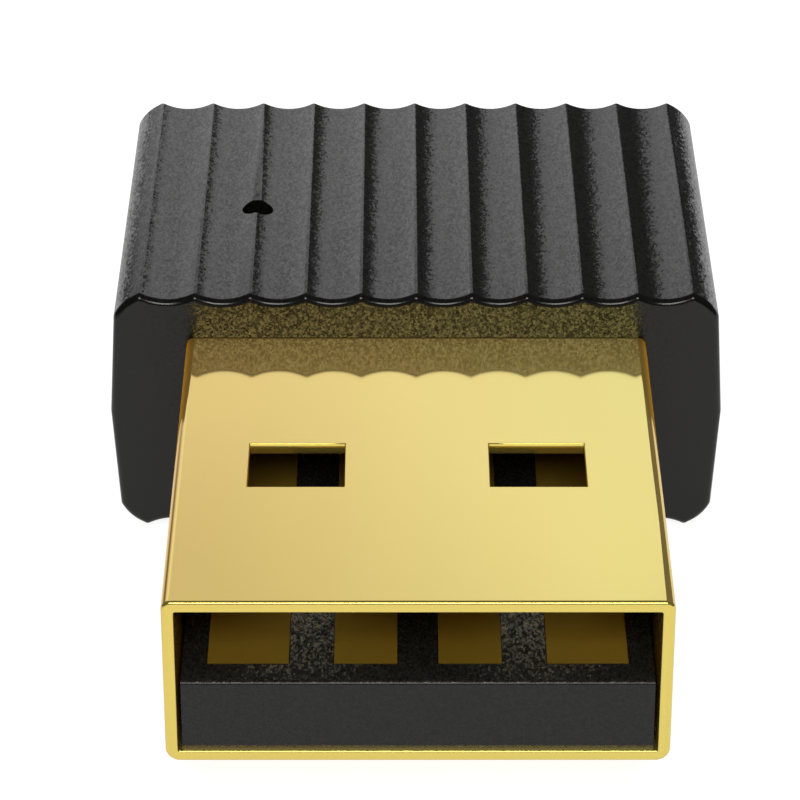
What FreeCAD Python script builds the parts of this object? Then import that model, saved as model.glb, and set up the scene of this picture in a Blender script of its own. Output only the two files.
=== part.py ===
import FreeCAD, Part
import math
import os
import Sketcher

# A short wireless adapter on a type A computer plug, in millimetres.
# The origin is on the plug's centre line, in the plane of the housing's front face.
# The plug points along -Y, X runs across it and +Z is up.

Vector = FreeCAD.Vector

# How a constraint counts the points of a line or an arc
START, END, CENTRE = range(1, 4)

# Flutes on each broad side, and the ridge, counted from the left edge, that the light hole is on
FLUTE_COUNT = 10
LIGHT_RIDGE = 2

# Steps of the housing's rounded ends, in degrees from the full section to the end face
RIM_STEPS = (30, 60, 90)
ANTENNA_TURNS = 5

doc = FreeCAD.newDocument("adapter")
sheet = doc.addObject("Spreadsheet::Sheet", "Sizes")
sub_parts = []

SIZES = (
    # Housing, moulded in one piece and open at the back
    ("front_wall", 1.0),
    ("roof_wall", 1.0),
    ("side_wall", 1.06),
    ("head_room", 0.25),
    ("side_room", 1.0),
    ("side_draft", 0.17),
    ("shoulder_width", 0.69),
    ("shoulder_drop", 0.65),
    ("shoulder_radius", 1.24),
    ("flute_radius", 1.53),
    ("rim_round", 0.18),
    ("cavity_corner", 0.4),
    ("plug_fit", 0.04),
    ("rail_depth", 0.5),
    ("rail_height", 0.5),
    ("light_hole", 0.85),
    ("light_setback", 5.17),
    # Rear cover, a plate with four snap arms
    ("cover_thickness", 0.8),
    ("cover_lip", 0.25),
    ("cover_fit", 0.03),
    ("arm_width", 2.4),
    ("arm_length", 2.4),
    ("arm_thickness", 0.6),
    ("arm_spread", 4.0),
    ("arm_fit", 0.05),
    ("barb_length", 0.9),
    ("barb_height", 0.22),
    # Plug shell, folded from sheet
    ("plug_width", 12.0),
    ("plug_height", 4.5),
    ("plug_length", 12.68),
    ("plug_sheet", 0.3),
    ("plug_bend", 0.05),
    ("plug_lip_outside", 0.085),
    ("plug_lip_inside", 0.05),
    ("window_width", 2.38),
    ("window_length", 2.07),
    ("window_spread", 2.97),
    ("window_setback", 5.195),
    ("seam_gap", 0.04),
    ("dovetail_reach", 0.8),
    ("dovetail_neck", 1.0),
    ("dovetail_flare", 0.2),
    ("dovetail_front", 3.2),
    ("dovetail_rear", 9.2),
    ("tab_length", 2.3),
    ("tab_reach", 0.5),
    ("tab_nose", 0.15),
    ("flap_reach", 0.45),
    ("flap_height", 1.0),
    ("flap_lift", 0.6),
    # Insulator: the tongue and the block behind it
    ("tongue_gap", 0.1),
    ("tongue_thickness", 1.88),
    ("tongue_recess", 0.13),
    ("tongue_edge", 0.1),
    ("block_depth", 1.68),
    ("block_stand", 0.15),
    ("block_fit", 0.06),
    # Contacts, flat springs in grooves
    ("contact_sheet", 0.2),
    ("contact_stand", 0.02),
    ("contact_setback", 0.92),
    ("contact_fit", 0.02),
    ("contact_margin", 0.6),
    ("contact_parting", 0.98),
    ("outer_contact_width", 1.93),
    ("inner_contact_width", 1.5),
    ("tail_width", 0.9),
    ("tail_length", 1.65),
    # Circuit board
    ("board_thickness", 0.8),
    ("board_gap", 0.05),
    ("board_side_fit", 0.08),
    ("board_corner", 0.5),
    ("slot_fit", 0.05),
    # Antenna, printed along the board's rear edge
    ("copper", 0.05),
    ("trace_width", 0.35),
    ("antenna_pitch", 0.85),
    ("antenna_height", 1.5),
    ("antenna_edge", 0.3),
    ("antenna_room", 0.5),
    ("antenna_side", 0.82),
    # Radio chip
    ("chip_side", 5.0),
    ("chip_height", 0.85),
    ("chip_room", 0.5),
    ("chip_across", 0.2),
    ("chip_bevel", 0.06),
    ("chip_mark", 0.5),
    ("chip_mark_depth", 0.05),
    ("chip_mark_inset", 0.7),
    # Crystal
    ("crystal_width", 2.5),
    ("crystal_length", 3.2),
    ("crystal_base", 0.25),
    ("crystal_lid", 0.45),
    ("crystal_step", 0.15),
    ("crystal_corner", 0.35),
    ("crystal_room", 0.15),
    ("crystal_setback", 5.5),
    # Status light
    ("lamp_width", 0.8),
    ("lamp_length", 1.6),
    ("lamp_base", 0.25),
    ("lamp_lens", 0.35),
    ("lamp_step", 0.25),
    ("lamp_bevel", 0.1),
    # Chip parts in three sizes, each with plated ends
    ("small_length", 1.0),
    ("small_width", 0.5),
    ("small_height", 0.5),
    ("medium_length", 1.6),
    ("medium_width", 0.8),
    ("medium_height", 0.8),
    ("coil_length", 2.0),
    ("coil_width", 1.6),
    ("coil_height", 1.0),
    ("end_length", 0.22),
    ("end_film", 0.02),
)

# Chip parts: name, size, where its distance across starts and the distance, where its setback
# starts and the setback, and its turn about Z
CHIP_PARTS = (
    ("led_resistor", "small", "light", 1.02, "board", 3.7, 90),
    ("bus_capacitor", "medium", "light", -1.28, "board", 3.9, 90),
    ("power_coil", "coil", "chip_left", -2.1, "board", 6.1, 0),
    ("core_capacitor", "small", "chip_left", -0.65, "board", 6.1, 90),
    ("chip_capacitor", "small", "chip_left", -0.6, "board", 2.6, 0),
    ("crystal_capacitor_left", "small", "chip_right", 0.6, "board", 3.0, 90),
    ("crystal_capacitor_right", "small", "chip_right", 1.8, "board", 3.0, 90),
    ("matching_coil", "small", "antenna_end", 0.5, "antenna", 0.175, 0),
    ("matching_capacitor", "small", "antenna_end", 1.5, "antenna", 0.75, 90),
)

# The four contacts: name, size and the side of the middle that each is on
CONTACTS = (
    ("contact_power", "outer", "left"),
    ("contact_data_minus", "inner", "left"),
    ("contact_data_plus", "inner", "right"),
    ("contact_ground", "outer", "right"),
)


def write_sheet():
    """Put every size in the sheet, one row each, under its own alias."""
    rows = list(SIZES)
    for name, _, _, across, _, setback, _ in CHIP_PARTS:
        rows.append((f"{name}_across", across))
        rows.append((f"{name}_setback", setback))
    for row, (name, value) in enumerate(rows, start=1):
        sheet.set(f"A{row}", name)
        sheet.set(f"B{row}", str(value))
        sheet.setAlias(f"B{row}", name)
    doc.recompute()


write_sheet()

# Plug shell and tongue
PLUG_HALF = "(Sizes.plug_width / 2)"
PLUG_TOP = "(Sizes.plug_height / 2)"
SHELL_INSIDE = f"({PLUG_HALF} - Sizes.plug_sheet)"
SHELL_ROOF = f"({PLUG_TOP} - Sizes.plug_sheet)"
SHELL_FLOOR = f"(Sizes.plug_sheet - {PLUG_TOP})"
SHELL_REAR = "(Sizes.front_wall + Sizes.plug_sheet)"
TONGUE_TOP = f"({SHELL_FLOOR} + Sizes.tongue_thickness)"
TONGUE_HALF = f"({SHELL_INSIDE} - Sizes.tongue_gap)"
BLOCK_REAR = f"({SHELL_REAR} + Sizes.block_stand)"
CONTACT_TOP = f"({TONGUE_TOP} + Sizes.contact_stand)"
TAIL_END = f"({BLOCK_REAR} + Sizes.tail_length)"
TAB_END = f"({SHELL_REAR} + Sizes.tab_length)"
CONTACT_FRONT = "(Sizes.contact_setback - Sizes.plug_length)"
CONTACT_CENTRES = {
    "outer": f"({TONGUE_HALF} - Sizes.contact_margin - Sizes.outer_contact_width / 2)",
    "inner": "((Sizes.contact_parting + Sizes.inner_contact_width) / 2)",
}

# Circuit board, from its front edge back to the cover and the housing's end
BOARD_TOP = f"({CONTACT_TOP} - Sizes.contact_sheet)"
BOARD_BASE = f"({BOARD_TOP} - Sizes.board_thickness)"
BOARD_FRONT = f"({BLOCK_REAR} + Sizes.board_gap)"
CHIP_MIDDLE = f"({TAIL_END} + Sizes.chip_room + Sizes.chip_side / 2)"
ANTENNA_FRONT = f"({CHIP_MIDDLE} + Sizes.chip_side / 2 + Sizes.antenna_room)"
BOARD_REAR = f"({ANTENNA_FRONT} + Sizes.antenna_height + Sizes.antenna_edge)"
COVER_FACE = f"({BOARD_REAR} + Sizes.board_gap)"
HOUSING_END = f"({COVER_FACE} + Sizes.cover_thickness)"

# Section of the housing: half widths, heights and the axes of its arcs
CAVITY_HALF = f"({PLUG_HALF} + Sizes.side_room)"
CAVITY_TOP = f"({PLUG_TOP} + Sizes.head_room)"
TOP = f"({CAVITY_TOP} + Sizes.roof_wall)"
SIDE_MIDDLE = f"({CAVITY_HALF} + Sizes.side_wall)"
SIDE_TOP = f"({SIDE_MIDDLE} - Sizes.side_draft)"
SIDE_TOP_HEIGHT = f"({TOP} - Sizes.shoulder_drop)"
DRAFT_ANGLE = f"atan(Sizes.side_draft / {SIDE_TOP_HEIGHT})"
LAST_RIDGE = f"({SIDE_TOP} - Sizes.shoulder_width)"
PITCH = f"(2 * {LAST_RIDGE} / {FLUTE_COUNT})"
FLUTE_AXIS = f"({TOP} + sqrt(Sizes.flute_radius ^ 2 - {PITCH} ^ 2 / 4))"
SHOULDER_CHORD = "sqrt(Sizes.shoulder_width ^ 2 + Sizes.shoulder_drop ^ 2)"
SHOULDER_SLOPE = f"(sqrt(Sizes.shoulder_radius ^ 2 - {SHOULDER_CHORD} ^ 2 / 4) / {SHOULDER_CHORD})"
SHOULDER_X = f"({LAST_RIDGE} + Sizes.shoulder_width / 2 - {SHOULDER_SLOPE} * Sizes.shoulder_drop)"
SHOULDER_Z = f"({TOP} - Sizes.shoulder_drop / 2 - {SHOULDER_SLOPE} * Sizes.shoulder_width)"
LIGHT_X = f"({LIGHT_RIDGE} * {PITCH} - {LAST_RIDGE})"

# Across the board, and where the distances to its chip parts start
BOARD_HALF = f"({CAVITY_HALF} - Sizes.board_side_fit)"
CHIP_LEFT = "(Sizes.chip_across - Sizes.chip_side / 2)"
CHIP_RIGHT = "(Sizes.chip_across + Sizes.chip_side / 2)"
ANTENNA_LEFT = f"(Sizes.antenna_side - {BOARD_HALF})"
ANTENNA_END = f"({ANTENNA_LEFT} + 2 * Sizes.antenna_pitch * {ANTENNA_TURNS})"
DISTANCES_FROM = {
    "light": LIGHT_X,
    "chip_left": CHIP_LEFT,
    "chip_right": CHIP_RIGHT,
    "antenna_end": ANTENNA_END,
    "board": BOARD_FRONT,
    "antenna": ANTENNA_FRONT,
}

# What holds the board and the cover
RAIL_FACE = f"({CAVITY_HALF} - Sizes.rail_depth)"
ARM_OUTSIDE = f"({CAVITY_TOP} - Sizes.arm_fit)"
ARM_INSIDE = f"({ARM_OUTSIDE} - Sizes.arm_thickness)"
ARM_TIP = f"({COVER_FACE} - Sizes.arm_length)"
BARB_CATCH = f"({ARM_TIP} + Sizes.barb_length)"
BARB_TOP = f"({ARM_OUTSIDE} + Sizes.barb_height)"


def number(expression):
    """The value that an expression has now."""
    found = sheet.evalExpression(expression)
    return float(getattr(found, "Value", found))


def minus(expression):
    return f"(-({expression}))"


def new_body(name):
    """A body for one sub-part. Its label is the node's name."""
    body = doc.addObject("PartDesign::Body", name)
    body.Label = name
    body.Placement = FreeCAD.Placement()
    sub_parts.append(body)
    return body


def origin_plane(body, role):
    return next(item for item in body.Origin.OriginFeatures if item.Role == role)


class Drawing:
    """A sketch on one of a body's origin planes. Its constraints are added together by close()."""

    def __init__(self, body, name, role, level):
        """The plane is moved to a level along +X, +Y or +Z."""
        self.sketch = body.newObject("Sketcher::SketchObject", name)
        self.sketch.AttachmentSupport = [(origin_plane(body, role), "")]
        self.sketch.MapMode = "FlatFace"
        self.sketch.setExpression("AttachmentOffset.Base.z", minus(level) if role == "XZ_Plane" else level)
        self.constraints = []
        self.expressions = []

    def join(self, kind, *places):
        """A constraint with no size, such as Coincident or Tangent."""
        self.constraints.append(Sketcher.Constraint(kind, *places))

    def hold(self, kind, expression, *places):
        """A constraint whose size is an expression."""
        value = number(expression)
        if kind == "Angle":
            value = math.radians(value)
        self.expressions.append((len(self.constraints), expression))
        self.constraints.append(Sketcher.Constraint(kind, *places, value))

    def place(self, piece, end, across, up):
        """Hold a point of the sketch at a distance from its origin, each way by an expression."""
        self.hold("DistanceX", across, -1, 1, piece, end)
        self.hold("DistanceY", up, -1, 1, piece, end)

    def line(self, first, last):
        return self.sketch.addGeometry(Part.LineSegment(first, last))

    def arc(self, across, up, radius, first_angle, last_angle):
        """An arc held by its centre and radius. Its ends are left to what joins them."""
        centre = Vector(number(across), number(up), 0)
        circle = Part.Circle(centre, Vector(0, 0, 1), number(radius))
        piece = self.sketch.addGeometry(Part.ArcOfCircle(circle, first_angle, last_angle))
        self.place(piece, CENTRE, across, up)
        self.hold("Radius", radius, piece)
        return piece

    def circle(self, across, up, radius):
        centre = Vector(number(across), number(up), 0)
        piece = self.sketch.addGeometry(Part.Circle(centre, Vector(0, 0, 1), number(radius)))
        self.place(piece, CENTRE, across, up)
        self.hold("Radius", radius, piece)

    def polygon(self, corners):
        """A closed outline of straight lines. Each corner is a pair of expressions."""
        points = [Vector(number(across), number(up), 0) for across, up in corners]
        sides = [self.line(first, last) for first, last in zip(points, points[1:] + points[:1])]
        for side, (across, up) in zip(sides, corners):
            self.place(side, START, across, up)
        for side, following in zip(sides, sides[1:] + sides[:1]):
            self.join("Coincident", side, END, following, START)

    def rectangle(self, left, right, low, high):
        self.polygon(((left, low), (right, low), (right, high), (left, high)))

    def rounded_rectangle(self, half_width, half_height, radius):
        """A rectangle about the sketch's origin whose corners are arcs, tangent to its sides."""
        quarter = math.pi / 2
        across = f"({half_width} - {radius})"
        up = f"({half_height} - {radius})"
        centres = ((across, minus(up)), (across, up), (minus(across), up), (minus(across), minus(up)))
        arcs = [self.arc(x, y, radius, turn * quarter, (turn + 1) * quarter)
                for turn, (x, y) in enumerate(centres, start=-1)]
        for arc, following in zip(arcs, arcs[1:] + arcs[:1]):
            side = self.line(self.sketch.getPoint(arc, END), self.sketch.getPoint(following, START))
            self.join("Tangent", arc, END, side, START)
            self.join("Tangent", side, END, following, START)

    def close(self):
        self.sketch.addConstraint(self.constraints)
        for index, expression in self.expressions:
            self.sketch.setExpression(f"Constraints[{index}]", expression)
        return self.sketch


def add_feature(body, kind, sketch, length, reverse=False):
    """A pad or pocket of a sketch. On the XZ plane both run towards +Y, the pad when reversed."""
    feature = body.newObject(f"PartDesign::{kind}", f"{sketch.Name}_{kind.lower()}")
    feature.Profile = sketch
    feature.setExpression("Length", length)
    feature.Reversed = reverse
    return feature


def pad_along_y(body, sketch, length):
    return add_feature(body, "Pad", sketch, length, reverse=True)


def pad_up(body, sketch, length):
    return add_feature(body, "Pad", sketch, length)


def pocket(body, sketch, length):
    return add_feature(body, "Pocket", sketch, length)


def near(value, target):
    return abs(value - target) < 1e-6


def edges_where(feature, test):
    """Names of a feature's edges whose every vertex passes a test."""
    doc.recompute()
    return [f"Edge{index}" for index, edge in enumerate(feature.Shape.Edges, start=1)
            if all(test(vertex.Point) for vertex in edge.Vertexes)]


def dress(body, kind, feature, edges, size_name, expression):
    """A fillet or chamfer on named edges of the feature before it."""
    dressed = body.newObject(f"PartDesign::{kind}", f"{feature.Name}_{kind.lower()}")
    dressed.Base = (feature, edges)
    dressed.setExpression(size_name, expression)
    body.Tip = dressed
    return dressed


def mirror(body, features, name):
    """Copies of features on the left side, mirrored in the body's own YZ plane."""
    mirrored = body.newObject("PartDesign::Mirrored", name)
    mirrored.Originals = features
    mirrored.MirrorPlane = (origin_plane(body, "YZ_Plane"), [""])
    body.Tip = mirrored


def fluted_outline(drawing, inset):
    """The housing's outline, moved inwards by inset: flutes, arched shoulders and V sides.

    The walk is clockwise from the top left ridge. The solver finds where neighbouring arcs meet.
    """
    flute_radius = f"(Sizes.flute_radius + {inset})"
    shoulder_radius = f"(Sizes.shoulder_radius - {inset})"
    middle = f"({SIDE_MIDDLE} - {inset} / cos({DRAFT_ANGLE}))"
    half_angle = math.asin(number(PITCH) / 2 / number(flute_radius))
    shoulder_x = number(SHOULDER_X)
    shoulder_z = number(SHOULDER_Z)
    ridge_angle = math.atan2(number(TOP) - shoulder_z, number(LAST_RIDGE) - shoulder_x)
    side_angle = math.atan2(number(SIDE_TOP_HEIGHT) - shoulder_z, number(SIDE_TOP) - shoulder_x)
    walk = []

    def flute(place, height, upright):
        across = f"({place} * {PITCH} - {LAST_RIDGE})"
        piece = drawing.arc(across, height, flute_radius, upright - half_angle, upright + half_angle)
        walk.append((piece, START, END))

    def shoulder(across, up, first_angle, last_angle):
        piece = drawing.arc(across, up, shoulder_radius, first_angle, last_angle)
        walk.append((piece, END, START))

    def side(sign):
        """Two straight walls that meet at the widest line: down on the right, up on the left."""
        wide = Vector(sign * number(middle), 0, 0)
        across = sign * (number(SIDE_TOP) - number(inset))
        up = sign * number(SIDE_TOP_HEIGHT)
        enter = drawing.line(Vector(across, up, 0), wide)
        leave = drawing.line(wide, Vector(across, -up, 0))
        drawing.place(enter, END, middle if sign > 0 else minus(middle), "0")
        for piece, lean in ((enter, "+"), (leave, "-")):
            drawing.hold("Angle", f"({-90 * sign} deg {lean} {DRAFT_ANGLE})", piece)
        walk.extend(((enter, START, END), (leave, START, END)))

    for index in range(FLUTE_COUNT):
        flute(index + 0.5, FLUTE_AXIS, -math.pi / 2)
    shoulder(SHOULDER_X, SHOULDER_Z, side_angle, ridge_angle)
    side(1)
    shoulder(SHOULDER_X, minus(SHOULDER_Z), -ridge_angle, -side_angle)
    for index in reversed(range(FLUTE_COUNT)):
        flute(index + 0.5, minus(FLUTE_AXIS), math.pi / 2)
    shoulder(minus(SHOULDER_X), minus(SHOULDER_Z), math.pi + side_angle, math.pi + ridge_angle)
    side(-1)
    shoulder(minus(SHOULDER_X), SHOULDER_Z, math.pi - ridge_angle, math.pi - side_angle)
    for (piece, _, leave), (following, enter, _) in zip(walk, walk[1:] + walk[:1]):
        drawing.join("Coincident", piece, leave, following, enter)


def housing():
    """The fluted housing, moulded in one piece: a sleeve with a closed front, open at the back."""
    body = new_body("housing")
    rim = "Sizes.rim_round"

    def rim_outline(name, angle, at_back):
        """The outline at one step of a rounded end, from the full section (0) to the end face (90)."""
        rise = f"({rim} * (1 - sin({angle} deg)))"
        level = f"({HOUSING_END} - {rise})" if at_back else rise
        drawing = Drawing(body, f"{name}_{angle}", "XZ_Plane", level)
        fluted_outline(drawing, f"({rim} * (1 - cos({angle} deg)))")
        return drawing.close()

    front_outline = rim_outline("front_outline", 0, False)
    pad_along_y(body, front_outline, f"{HOUSING_END} - 2 * {rim}")
    back_outline = rim_outline("back_outline", 0, True)
    for name, outline, at_back in (("front_rim", front_outline, False), ("back_rim", back_outline, True)):
        loft = body.newObject("PartDesign::AdditiveLoft", f"{name}_loft")
        loft.Profile = outline
        loft.Sections = [rim_outline(name, angle, at_back) for angle in RIM_STEPS]
        loft.Ruled = True

    cavity = Drawing(body, "cavity", "XZ_Plane", "Sizes.front_wall")
    cavity.rounded_rectangle(CAVITY_HALF, CAVITY_TOP, "Sizes.cavity_corner")
    pocket(body, cavity.close(), f"{HOUSING_END} - Sizes.front_wall")

    seat = Drawing(body, "cover_seat", "XZ_Plane", COVER_FACE)
    seat.rounded_rectangle(f"({CAVITY_HALF} + Sizes.cover_lip)", f"({CAVITY_TOP} + Sizes.cover_lip)",
                           "Sizes.cavity_corner")
    pocket(body, seat.close(), "Sizes.cover_thickness")

    opening = Drawing(body, "plug_opening", "XZ_Plane", "0")
    opening.rounded_rectangle(f"({PLUG_HALF} + Sizes.plug_fit)", f"({PLUG_TOP} + Sizes.plug_fit)",
                              "(Sizes.plug_bend + Sizes.plug_sheet)")
    pocket(body, opening.close(), "Sizes.front_wall")

    # A lower and an upper rail on each side wall, with the board between them
    rails = Drawing(body, "board_rails", "XZ_Plane", "Sizes.front_wall")
    wall = f"({CAVITY_HALF} + Sizes.side_wall / 2)"
    upper = f"({BOARD_TOP} + Sizes.board_gap)"
    for left, right in ((RAIL_FACE, wall), (minus(wall), minus(RAIL_FACE))):
        rails.rectangle(left, right, f"({BOARD_BASE} - Sizes.rail_height)", BOARD_BASE)
        rails.rectangle(left, right, upper, f"({upper} + Sizes.rail_height)")
    pad_along_y(body, rails.close(), f"{COVER_FACE} - Sizes.front_wall")

    # Recesses in the roof and the floor, for the cover's barbs
    recess_top = f"({BARB_TOP} + Sizes.arm_fit)"
    half_width = "(Sizes.arm_width / 2 + Sizes.arm_fit)"
    recesses = Drawing(body, "barb_recesses", "XY_Plane", recess_top)
    for centre in ("Sizes.arm_spread", minus("Sizes.arm_spread")):
        recesses.rectangle(f"({centre} - {half_width})", f"({centre} + {half_width})",
                           ARM_TIP, f"({BARB_CATCH} + Sizes.arm_fit)")
    pocket(body, recesses.close(), f"2 * {recess_top}")

    hole = Drawing(body, "light_opening", "XY_Plane", TOP)
    hole.circle(LIGHT_X, "Sizes.light_setback", "(Sizes.light_hole / 2)")
    pocket(body, hole.close(), TOP)


def rear_cover():
    """The plate that closes the back, with four arms whose barbs snap into the housing."""
    body = new_body("rear_cover")
    lip = "Sizes.cover_lip - Sizes.cover_fit"
    plate = Drawing(body, "cover_plate", "XZ_Plane", COVER_FACE)
    plate.rounded_rectangle(f"({CAVITY_HALF} + {lip})", f"({CAVITY_TOP} + {lip})", "Sizes.cavity_corner")
    pad_along_y(body, plate.close(), "Sizes.cover_thickness")

    arms = Drawing(body, "snap_arms", "XZ_Plane", ARM_TIP)
    for centre in ("Sizes.arm_spread", minus("Sizes.arm_spread")):
        left = f"({centre} - Sizes.arm_width / 2)"
        right = f"({centre} + Sizes.arm_width / 2)"
        arms.rectangle(left, right, ARM_INSIDE, ARM_OUTSIDE)
        arms.rectangle(left, right, minus(ARM_OUTSIDE), minus(ARM_INSIDE))
    pad_along_y(body, arms.close(), "Sizes.arm_length")

    # Each barb is a ramp that rises from its arm's tip to a square catch
    barbs = Drawing(body, "barbs", "YZ_Plane", "(Sizes.arm_spread - Sizes.arm_width / 2)")
    barbs.polygon(((ARM_TIP, ARM_INSIDE), (BARB_CATCH, ARM_INSIDE), (BARB_CATCH, BARB_TOP),
                   (ARM_TIP, ARM_OUTSIDE)))
    barbs.polygon(((ARM_TIP, minus(ARM_OUTSIDE)), (BARB_CATCH, minus(BARB_TOP)),
                   (BARB_CATCH, minus(ARM_INSIDE)), (ARM_TIP, minus(ARM_INSIDE))))
    right_barbs = pad_up(body, barbs.close(), "Sizes.arm_width")
    mirror(body, [right_barbs], "left_barbs")


def seam_corners():
    """The gap between the sheet's two edges, which is straight but for two dovetails."""
    flare_shift = "(Sizes.seam_gap * (1 + Sizes.dovetail_flare / Sizes.dovetail_reach))"
    ends = (minus("Sizes.plug_length"), SHELL_REAR)
    near_edge = [("0", ends[0])]
    far_edge = [("Sizes.seam_gap", ends[0])]
    for setback in ("Sizes.dovetail_front", "Sizes.dovetail_rear"):
        neck_front = f"({setback} - Sizes.plug_length)"
        neck_rear = f"({neck_front} + Sizes.dovetail_neck)"
        head_front = f"({neck_front} - Sizes.dovetail_flare)"
        head_rear = f"({neck_rear} + Sizes.dovetail_flare)"
        head = "(Sizes.dovetail_reach + Sizes.seam_gap)"
        near_edge += [("0", neck_front), ("Sizes.dovetail_reach", head_front),
                      ("Sizes.dovetail_reach", head_rear), ("0", neck_rear)]
        far_edge += [("Sizes.seam_gap", f"({neck_front} - {flare_shift})"),
                     (head, f"({head_front} - {flare_shift})"),
                     (head, f"({head_rear} + {flare_shift})"),
                     ("Sizes.seam_gap", f"({neck_rear} + {flare_shift})")]
    near_edge.append(("0", ends[1]))
    far_edge.append(("Sizes.seam_gap", ends[1]))
    return near_edge + far_edge[::-1]


def plug_shell():
    """The plug's shell, one strip of sheet folded to a tube, its two ends joined below by dovetails."""
    body = new_body("plug_shell")
    front = minus("Sizes.plug_length")
    tube = Drawing(body, "folded_section", "XZ_Plane", front)
    tube.rounded_rectangle(PLUG_HALF, PLUG_TOP, "(Sizes.plug_bend + Sizes.plug_sheet)")
    tube.rounded_rectangle(SHELL_INSIDE, SHELL_ROOF, "Sizes.plug_bend")
    last = pad_along_y(body, tube.close(), f"Sizes.plug_length + {SHELL_REAR}")
    lips = (("outside", PLUG_HALF, PLUG_TOP), ("inside", SHELL_INSIDE, SHELL_ROOF))
    for side, half_width, half_height in lips:
        edges = edges_where(last, lambda point: near(point.y, number(front)) and (
            near(abs(point.x), number(half_width)) or near(abs(point.z), number(half_height))))
        last = dress(body, "Fillet", last, edges, "Radius", f"Sizes.plug_lip_{side}")

    windows = Drawing(body, "windows", "XY_Plane", PLUG_TOP)
    window_front = f"({front} + Sizes.window_setback)"
    for centre in ("Sizes.window_spread", minus("Sizes.window_spread")):
        windows.rectangle(f"({centre} - Sizes.window_width / 2)", f"({centre} + Sizes.window_width / 2)",
                          window_front, f"({window_front} + Sizes.window_length)")
    pocket(body, windows.close(), "Sizes.plug_height")

    seam = Drawing(body, "seam", "XY_Plane", SHELL_FLOOR)
    seam.polygon(seam_corners())
    pocket(body, seam.close(), "Sizes.plug_sheet")

    # Behind the front wall each side has a tab, which lies in the board's slot, and a flap bent outwards
    low = f"({BOARD_BASE} - Sizes.tab_reach)"
    high = f"({BOARD_TOP} + Sizes.tab_reach)"
    nose = f"({TAB_END} - Sizes.tab_nose)"
    tab = Drawing(body, "solder_tab", "YZ_Plane", SHELL_INSIDE)
    tab.polygon((("Sizes.front_wall", low), (nose, low), (TAB_END, f"({low} + Sizes.tab_nose)"),
                 (TAB_END, f"({high} - Sizes.tab_nose)"), (nose, high), ("Sizes.front_wall", high)))
    right_tab = pad_up(body, tab.close(), "Sizes.plug_sheet")
    flap = Drawing(body, "stop_flap", "XY_Plane", "Sizes.flap_lift")
    flap.rectangle(SHELL_INSIDE, f"({PLUG_HALF} + Sizes.flap_reach)", "Sizes.front_wall", SHELL_REAR)
    right_flap = pad_up(body, flap.close(), "Sizes.flap_height")
    mirror(body, [right_tab, right_flap], "left_tab_and_flap")


def contact_centre(size, side):
    centre = CONTACT_CENTRES[size]
    return minus(centre) if side == "left" else centre


def plug_insulator():
    """The moulded insulator: a tongue on the shell's floor and a block that holds the contacts."""
    body = new_body("plug_insulator")
    tongue_front = "(Sizes.tongue_recess - Sizes.plug_length)"
    tongue = Drawing(body, "tongue", "XZ_Plane", tongue_front)
    tongue.rectangle(minus(TONGUE_HALF), TONGUE_HALF, SHELL_FLOOR, TONGUE_TOP)
    last = pad_along_y(body, tongue.close(), f"{BLOCK_REAR} - {tongue_front}")
    edges = edges_where(last, lambda point: near(point.y, number(tongue_front))
                        and near(point.z, number(TONGUE_TOP)))
    dress(body, "Fillet", last, edges, "Radius", "Sizes.tongue_edge")

    block = Drawing(body, "block", "XZ_Plane", minus("Sizes.block_depth"))
    block_half = f"({SHELL_INSIDE} - Sizes.block_fit)"
    block.rectangle(minus(block_half), block_half, SHELL_FLOOR, f"({SHELL_ROOF} - Sizes.block_fit)")
    pad_along_y(body, block.close(), f"Sizes.block_depth + {BLOCK_REAR}")

    grooves = Drawing(body, "contact_grooves", "XZ_Plane", CONTACT_FRONT)
    for _, size, side in CONTACTS:
        centre = contact_centre(size, side)
        half = f"(Sizes.{size}_contact_width / 2 + Sizes.contact_fit)"
        grooves.rectangle(f"({centre} - {half})", f"({centre} + {half})", BOARD_TOP,
                          f"({CONTACT_TOP} + Sizes.contact_fit)")
    pocket(body, grooves.close(), f"{BLOCK_REAR} - {CONTACT_FRONT}")


def contact(name, size, side):
    """A flat contact: a wide blade in the tongue's groove and a narrow tail on the board."""
    body = new_body(name)
    centre = contact_centre(size, side)
    blade_left, blade_right = (f"({centre} {sign} Sizes.{size}_contact_width / 2)" for sign in "-+")
    tail_left, tail_right = (f"({centre} {sign} Sizes.tail_width / 2)" for sign in "-+")
    strip = Drawing(body, f"{name}_strip", "XY_Plane", BOARD_TOP)
    strip.polygon(((blade_left, CONTACT_FRONT), (blade_right, CONTACT_FRONT), (blade_right, BLOCK_REAR),
                   (tail_right, BLOCK_REAR), (tail_right, TAIL_END), (tail_left, TAIL_END),
                   (tail_left, BLOCK_REAR), (blade_left, BLOCK_REAR)))
    pad_up(body, strip.close(), "Sizes.contact_sheet")


def circuit_board():
    """The board. Two slots in its front edge take the shell's solder tabs."""
    body = new_body("circuit_board")
    slot_in = f"({SHELL_INSIDE} - Sizes.slot_fit)"
    slot_out = f"({PLUG_HALF} + Sizes.slot_fit)"
    slot_end = f"({TAB_END} + Sizes.slot_fit)"
    right = [(BOARD_HALF, BOARD_REAR), (BOARD_HALF, BOARD_FRONT), (slot_out, BOARD_FRONT),
             (slot_out, slot_end), (slot_in, slot_end), (slot_in, BOARD_FRONT)]
    left = [(minus(across), along) for across, along in reversed(right)]
    outline = Drawing(body, "board_outline", "XY_Plane", BOARD_BASE)
    outline.polygon(right + left)
    plate = pad_up(body, outline.close(), "Sizes.board_thickness")
    corners = edges_where(plate, lambda point: near(abs(point.x), number(BOARD_HALF))
                          and near(point.y, number(BOARD_REAR)))
    upright = [name for name in corners if near(abs(plate.Shape.getElement(name).tangentAt(0).z), 1)]
    dress(body, "Fillet", plate, upright, "Radius", "Sizes.board_corner")


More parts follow.
